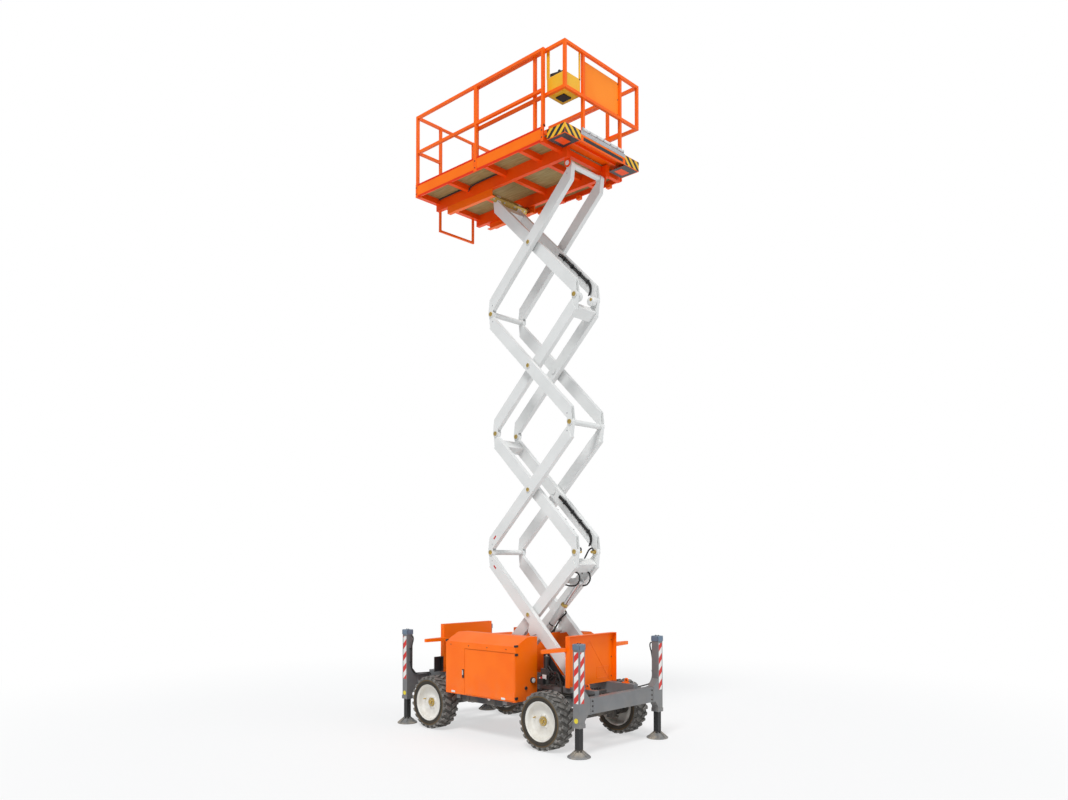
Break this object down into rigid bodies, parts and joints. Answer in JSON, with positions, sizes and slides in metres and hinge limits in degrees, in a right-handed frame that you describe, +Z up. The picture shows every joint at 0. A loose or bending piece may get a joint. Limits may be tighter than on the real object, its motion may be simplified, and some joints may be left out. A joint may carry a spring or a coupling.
{
  "type": "rough-terrain scissor lift",
  "caption": "Self-propelled rough-terrain scissor lift with levelling jacks, side boxes, scissor mast and a guarded platform with a roll-out deck.",
  "frame": {"origin": "on the ground under the middle of the chassis", "axes": "+X forward, +Y to the machine's left, +Z up"},
  "size_m": [3.494, 1.858, 8.691],
  "materials": {
    "orange_paint": "satin powder coat",
    "white_paint": "satin powder coat",
    "grey_paint": "satin",
    "black_paint": "satin",
    "bright_steel": "machined",
    "zinc_plate": "yellow zinc",
    "tyre": "dusty",
    "yellow_plastic": "moulded"
  },
  "bodies": {
    "chassis": {"chassis_frame": "grey_paint", "front_axle": "black_paint", "rear_axle": "black_paint", "front_jack_beam": "grey_paint", "rear_jack_beam": "grey_paint", "front_cover": "orange_paint", "rear_cover": "orange_paint", "right_box": "orange_paint", "right_box_roof": "orange_paint", "left_box": "orange_paint", "left_box_roof": "orange_paint", "engine_block": "black_paint", "right_bottom_track": "grey_paint", "left_bottom_track": "grey_paint"},
    "right_knuckle": {"right_knuckle": "black_paint"},
    "left_knuckle": {"left_knuckle": "black_paint"},
    "front_right_wheel": {"front_right_rim": "white_paint", "front_right_tyre": "tyre"},
    "front_left_wheel": {"front_left_rim": "white_paint", "front_left_tyre": "tyre"},
    "rear_right_wheel": {"rear_right_rim": "white_paint", "rear_right_tyre": "tyre"},
    "rear_left_wheel": {"rear_left_rim": "white_paint", "rear_left_tyre": "tyre"},
    "front_right_jack_leg": {"front_right_jack_leg": "black_paint"},
    "front_left_jack_leg": {"front_left_jack_leg": "black_paint"},
    "rear_right_jack_leg": {"rear_right_jack_leg": "black_paint"},
    "rear_left_jack_leg": {"rear_left_jack_leg": "black_paint"},
    "right_door": {"right_box_door": "orange_paint"},
    "left_door": {"left_box_door": "orange_paint"},
    "outer_1": {"outer_arm_1": "white_paint"},
    "outer_2": {"outer_arm_2": "white_paint"},
    "outer_3": {"outer_arm_3": "white_paint"},
    "outer_4": {"outer_arm_4": "white_paint"},
    "inner_1": {"inner_arm_1": "white_paint", "bottom_rollers": "bright_steel"},
    "inner_2": {"inner_arm_2": "white_paint"},
    "inner_3": {"inner_arm_3": "white_paint"},
    "inner_4": {"inner_arm_4": "white_paint", "top_rollers": "zinc_plate"},
    "platform": {"platform_frame": "orange_paint", "platform_floor": "grey_paint", "right_top_track": "orange_paint", "left_top_track": "orange_paint", "right_guard_rail": "orange_paint", "left_guard_rail": "orange_paint", "rear_right_guard_rail": "orange_paint", "rear_left_guard_rail": "orange_paint", "entry_step": "orange_paint"},
    "lift_barrel": {"lift_barrel": "grey_paint"},
    "lift_rod": {"lift_rod": "bright_steel"},
    "entry_bar": {"entry_bar": "orange_paint"},
    "slide_deck": {"slide_deck": "orange_paint", "slide_guard_rail": "orange_paint", "front_panel": "orange_paint", "control_box": "yellow_plastic"}
  },
  "joints": [
    {"name": "right_steer", "type": "hinge", "parent": "chassis", "child": "right_knuckle", "pos_m": [1.051, -0.57, 0.359], "axis": [0, 0, 1], "range_deg": [-30, 30]},
    {"name": "left_steer", "type": "hinge", "parent": "chassis", "child": "left_knuckle", "pos_m": [1.051, 0.57, 0.359], "axis": [0, 0, 1], "range_deg": [-30, 30]},
    {"name": "front_right_wheel_spin", "type": "hinge", "parent": "right_knuckle", "child": "front_right_wheel", "pos_m": [1.051, -0.745, 0.359], "axis": [0, 1, 0], "continuous": true},
    {"name": "front_left_wheel_spin", "type": "hinge", "parent": "left_knuckle", "child": "front_left_wheel", "pos_m": [1.051, 0.745, 0.359], "axis": [0, 1, 0], "continuous": true},
    {"name": "rear_right_wheel_spin", "type": "hinge", "parent": "chassis", "child": "rear_right_wheel", "pos_m": [-1.051, -0.745, 0.359], "axis": [0, 1, 0], "continuous": true},
    {"name": "rear_left_wheel_spin", "type": "hinge", "parent": "chassis", "child": "rear_left_wheel", "pos_m": [-1.051, 0.745, 0.359], "axis": [0, 1, 0], "continuous": true},
    {"name": "front_right_jack_lift", "type": "slide", "parent": "chassis", "child": "front_right_jack_leg", "axis": [0, 0, 1], "range_m": [-0.1, 0.24]},
    {"name": "front_left_jack_lift", "type": "slide", "parent": "chassis", "child": "front_left_jack_leg", "axis": [0, 0, 1], "range_m": [-0.1, 0.24]},
    {"name": "rear_right_jack_lift", "type": "slide", "parent": "chassis", "child": "rear_right_jack_leg", "axis": [0, 0, 1], "range_m": [-0.1, 0.24]},
    {"name": "rear_left_jack_lift", "type": "slide", "parent": "chassis", "child": "rear_left_jack_leg", "axis": [0, 0, 1], "range_m": [-0.1, 0.24]},
    {"name": "right_door_hinge", "type": "hinge", "parent": "chassis", "child": "right_door", "pos_m": [0.606, -0.856, 0.85], "axis": [0, 0, 1], "range_deg": [0, 105]},
    {"name": "left_door_hinge", "type": "hinge", "parent": "chassis", "child": "left_door", "pos_m": [0.606, 0.856, 0.85], "axis": [0, 0, -1], "range_deg": [0, 105]},
    {"name": "mast_lift", "type": "hinge", "parent": "chassis", "child": "outer_1", "pos_m": [1.061, 0, 0.7785], "axis": [0, 1, 0], "range_deg": [-44.57, 6.63]},
    {"name": "stage_2_fold", "type": "hinge", "parent": "outer_1", "child": "outer_2", "pos_m": [-0.37886, 0, 2.4273], "axis": [0, -1, 0], "range_deg": [-89.16, 13.27]},
    {"name": "stage_3_fold", "type": "hinge", "parent": "outer_2", "child": "outer_3", "pos_m": [1.061, 0, 4.07609], "axis": [0, 1, 0], "range_deg": [-89.16, 13.27]},
    {"name": "stage_4_fold", "type": "hinge", "parent": "outer_3", "child": "outer_4", "pos_m": [-0.37886, 0, 5.72489], "axis": [0, -1, 0], "range_deg": [-89.16, 13.27]},
    {"name": "cross_1_fold", "type": "hinge", "parent": "outer_1", "child": "inner_1", "pos_m": [0.34107, 0, 1.6029], "axis": [0, -1, 0], "range_deg": [-89.16, 13.27]},
    {"name": "cross_2_fold", "type": "hinge", "parent": "outer_2", "child": "inner_2", "pos_m": [0.34107, 0, 3.25169], "axis": [0, 1, 0], "range_deg": [-89.16, 13.27]},
    {"name": "cross_3_fold", "type": "hinge", "parent": "outer_3", "child": "inner_3", "pos_m": [0.34107, 0, 4.90049], "axis": [0, -1, 0], "range_deg": [-89.16, 13.27]},
    {"name": "cross_4_fold", "type": "hinge", "parent": "outer_4", "child": "inner_4", "pos_m": [0.34107, 0, 6.54929], "axis": [0, 1, 0], "range_deg": [-89.16, 13.27]},
    {"name": "platform_level", "type": "hinge", "parent": "outer_4", "child": "platform", "pos_m": [1.061, 0, 7.37369], "axis": [0, 1, 0], "range_deg": [-44.58, 6.64]},
    {"name": "lift_barrel_swing", "type": "hinge", "parent": "outer_1", "child": "lift_barrel", "pos_m": [0.38167, 0, 1.37339], "axis": [0, -1, 0], "range_deg": [-92.14, 13.71]},
    {"name": "lift_rod_stroke", "type": "slide", "parent": "lift_barrel", "child": "lift_rod", "axis": [0.647, 0, 0.7625], "range_m": [-0.32532, 0.04847]},
    {"name": "entry_bar_lift", "type": "hinge", "parent": "platform", "child": "entry_bar", "pos_m": [-1.425, 0.2807, 8.697], "axis": [-1, 0, 0], "range_deg": [0, 85]},
    {"name": "slide_deck_roll", "type": "slide", "parent": "platform", "child": "slide_deck", "axis": [1, 0, 0], "range_m": [0, 0.9]}
  ],
  "couplings": [
    {"joint": "left_steer", "follows": "right_steer", "ratio": 1},
    {"joint": "stage_2_fold", "follows": "mast_lift", "ratio": 2},
    {"joint": "stage_3_fold", "follows": "mast_lift", "ratio": 2},
    {"joint": "stage_4_fold", "follows": "mast_lift", "ratio": 2},
    {"joint": "cross_1_fold", "follows": "mast_lift", "ratio": 2},
    {"joint": "cross_2_fold", "follows": "mast_lift", "ratio": 2},
    {"joint": "cross_3_fold", "follows": "mast_lift", "ratio": 2},
    {"joint": "cross_4_fold", "follows": "mast_lift", "ratio": 2},
    {"joint": "platform_level", "follows": "mast_lift", "ratio": 1},
    {"joint": "lift_barrel_swing", "follows": "mast_lift", "ratio": 2.067},
    {"joint": "lift_rod_stroke", "follows": "mast_lift", "m_per_rad": 0.41805}
  ]
}
